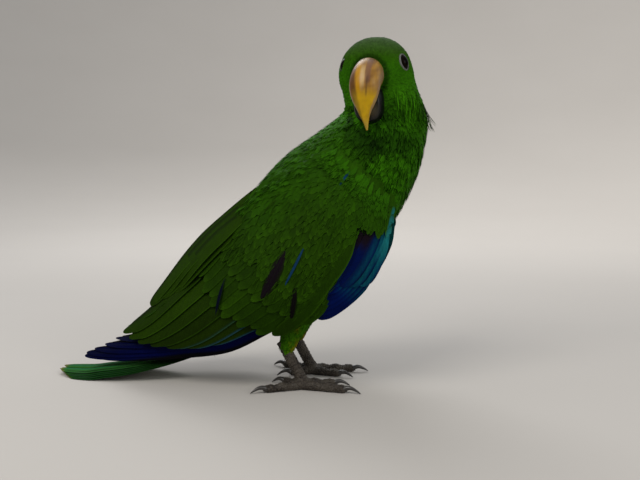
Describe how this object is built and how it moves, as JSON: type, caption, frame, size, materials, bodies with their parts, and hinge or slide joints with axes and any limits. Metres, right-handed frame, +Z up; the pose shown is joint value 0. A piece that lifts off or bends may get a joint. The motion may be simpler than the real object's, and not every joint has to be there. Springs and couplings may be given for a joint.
{
  "type": "eclectus parrot",
  "caption": "Life-size green parrot with a hooked bill, blue wing edges and folded wings, standing with its tail laid on the floor and its head turned to its right",
  "frame": {"origin": "on the floor, under the middle of the bird's bounding box", "axes": "+X along the bird's heading, from tail to breast; +Y to its left; +Z up"},
  "size_m": [0.2711, 0.1008, 0.2405],
  "materials": {
    "green": "feathered, soft sheen",
    "wing": "feathered, smooth vanes",
    "blue": "feathered, smooth deep blue vanes",
    "tail": "feathered, long smooth vanes",
    "bill": "horn, satin, orange with a yellow tip",
    "bill_dark": "horn, satin, near black",
    "eye": "wet and dark",
    "lid": "bare grey skin",
    "foot": "small grey scales",
    "claw": "horn, satin, near black"
  },
  "bodies": {
    "root": {"head": "green", "neck": "green", "torso": "green", "bill_upper": "bill", "bill_lower": "bill_dark", "eye_right": "eye", "eye_left": "eye", "eyelid_right": "lid", "eyelid_left": "lid", "wing_right_coverts": "wing", "wing_right_secondaries": "wing", "wing_right_primaries": "blue", "wing_left_coverts": "wing", "wing_left_secondaries": "wing", "wing_left_primaries": "blue", "tail": "tail", "thigh_right": "green", "shank_right": "foot", "toe_right_front_inner": "foot", "claw_right_front_inner": "claw", "toe_right_front_outer": "foot", "claw_right_front_outer": "claw", "toe_right_back_inner": "foot", "claw_right_back_inner": "claw", "toe_right_back_outer": "foot", "claw_right_back_outer": "claw", "thigh_left": "green", "shank_left": "foot", "toe_left_front_inner": "foot", "claw_left_front_inner": "claw", "toe_left_front_outer": "foot", "claw_left_front_outer": "claw", "toe_left_back_inner": "foot", "claw_left_back_inner": "claw", "toe_left_back_outer": "foot", "claw_left_back_outer": "claw"}
  },
  "joints": []
}
